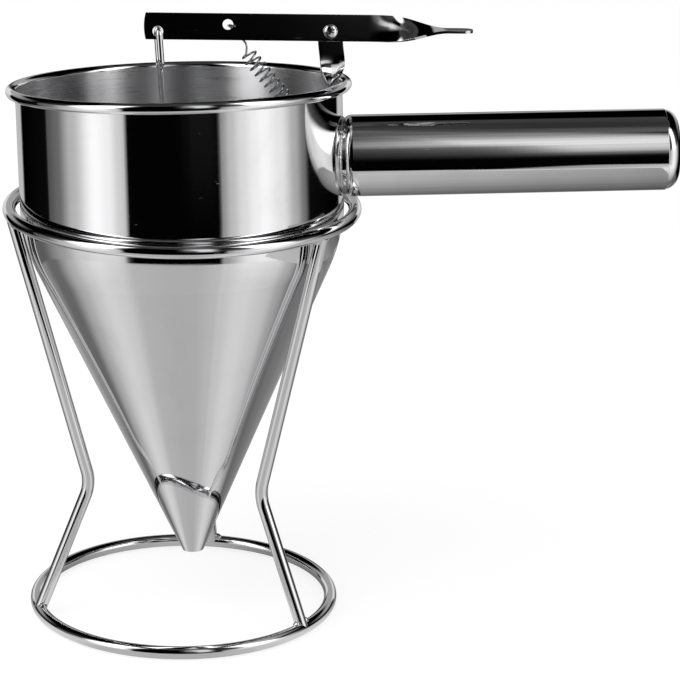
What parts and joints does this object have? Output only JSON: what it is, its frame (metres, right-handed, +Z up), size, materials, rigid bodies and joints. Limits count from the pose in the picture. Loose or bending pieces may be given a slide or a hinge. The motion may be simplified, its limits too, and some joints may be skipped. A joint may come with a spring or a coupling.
{
  "type": "batter dispenser",
  "caption": "Sheet-metal funnel with a tubular handle and a sprung thumb lever that lifts a valve rod out of its nozzle, standing in a wire stand.",
  "frame": {"origin": "on the floor at the centre of the base ring", "axes": "+Z up, square to the floor and along the stand's axis; +X towards the handle; +Y to the back, away from the lever's front face. The funnel with all its parts rests askew in the stand's ring, its top leaning 4.84 degrees back and 1.70 degrees left, so the handle's axis rises 1.7 degrees from +X and the pivot's axis dips 4.8 degrees from +Y."},
  "size_m": [0.3146, 0.1684, 0.2874],
  "materials": {
    "funnel_steel": "mirror polished stainless steel",
    "wire_steel": "polished stainless wire",
    "strip_steel": "polished stainless strip",
    "fastener_steel": "bright zinc plated",
    "spring_steel": "drawn spring wire",
    "weld_steel": "cleaned weld"
  },
  "bodies": {
    "stand": {"base_ring": "wire_steel", "top_ring": "wire_steel", "leg_left": "wire_steel", "leg_right": "wire_steel", "leg_rear": "wire_steel", "stand_welds": "weld_steel"},
    "funnel": {"bowl_shell": "funnel_steel", "cone_shell": "funnel_steel", "nozzle_tip": "funnel_steel", "handle_tube": "funnel_steel", "handle_root_cap": "funnel_steel", "handle_end_cap": "funnel_steel", "handle_weld": "weld_steel", "lever_bracket": "strip_steel", "bracket_welds": "weld_steel", "pivot_screw": "fastener_steel", "pivot_nut": "fastener_steel", "pivot_washer": "fastener_steel", "pivot_bush": "fastener_steel", "return_spring": "spring_steel"},
    "lever": {"lever_arm": "strip_steel"},
    "rod": {"valve_rod": "wire_steel", "valve_plug": "funnel_steel"}
  },
  "joints": [
    {"name": "funnel_lift", "type": "slide", "parent": "stand", "child": "funnel", "axis": [0, 0, 1], "range_m": [0, 0.2]},
    {"name": "lever_pivot", "type": "hinge", "parent": "funnel", "child": "lever", "pos_m": [0.068, 0.00642, 0.27953], "axis": [0.0025, 0.9964, -0.0843], "range_deg": [0, 18], "stiffness_Nm_per_rad": 1.2, "springref_deg": -14.32, "deforming": ["return_spring"]},
    {"name": "rod_swing", "type": "hinge", "parent": "lever", "child": "rod", "pos_m": [-0.0113, 0.00662, 0.27956], "axis": [0.0025, 0.9964, -0.0843], "range_deg": [-18, 0]}
  ],
  "couplings": [
    {"joint": "rod_swing", "follows": "lever_pivot", "ratio": -1}
  ]
}
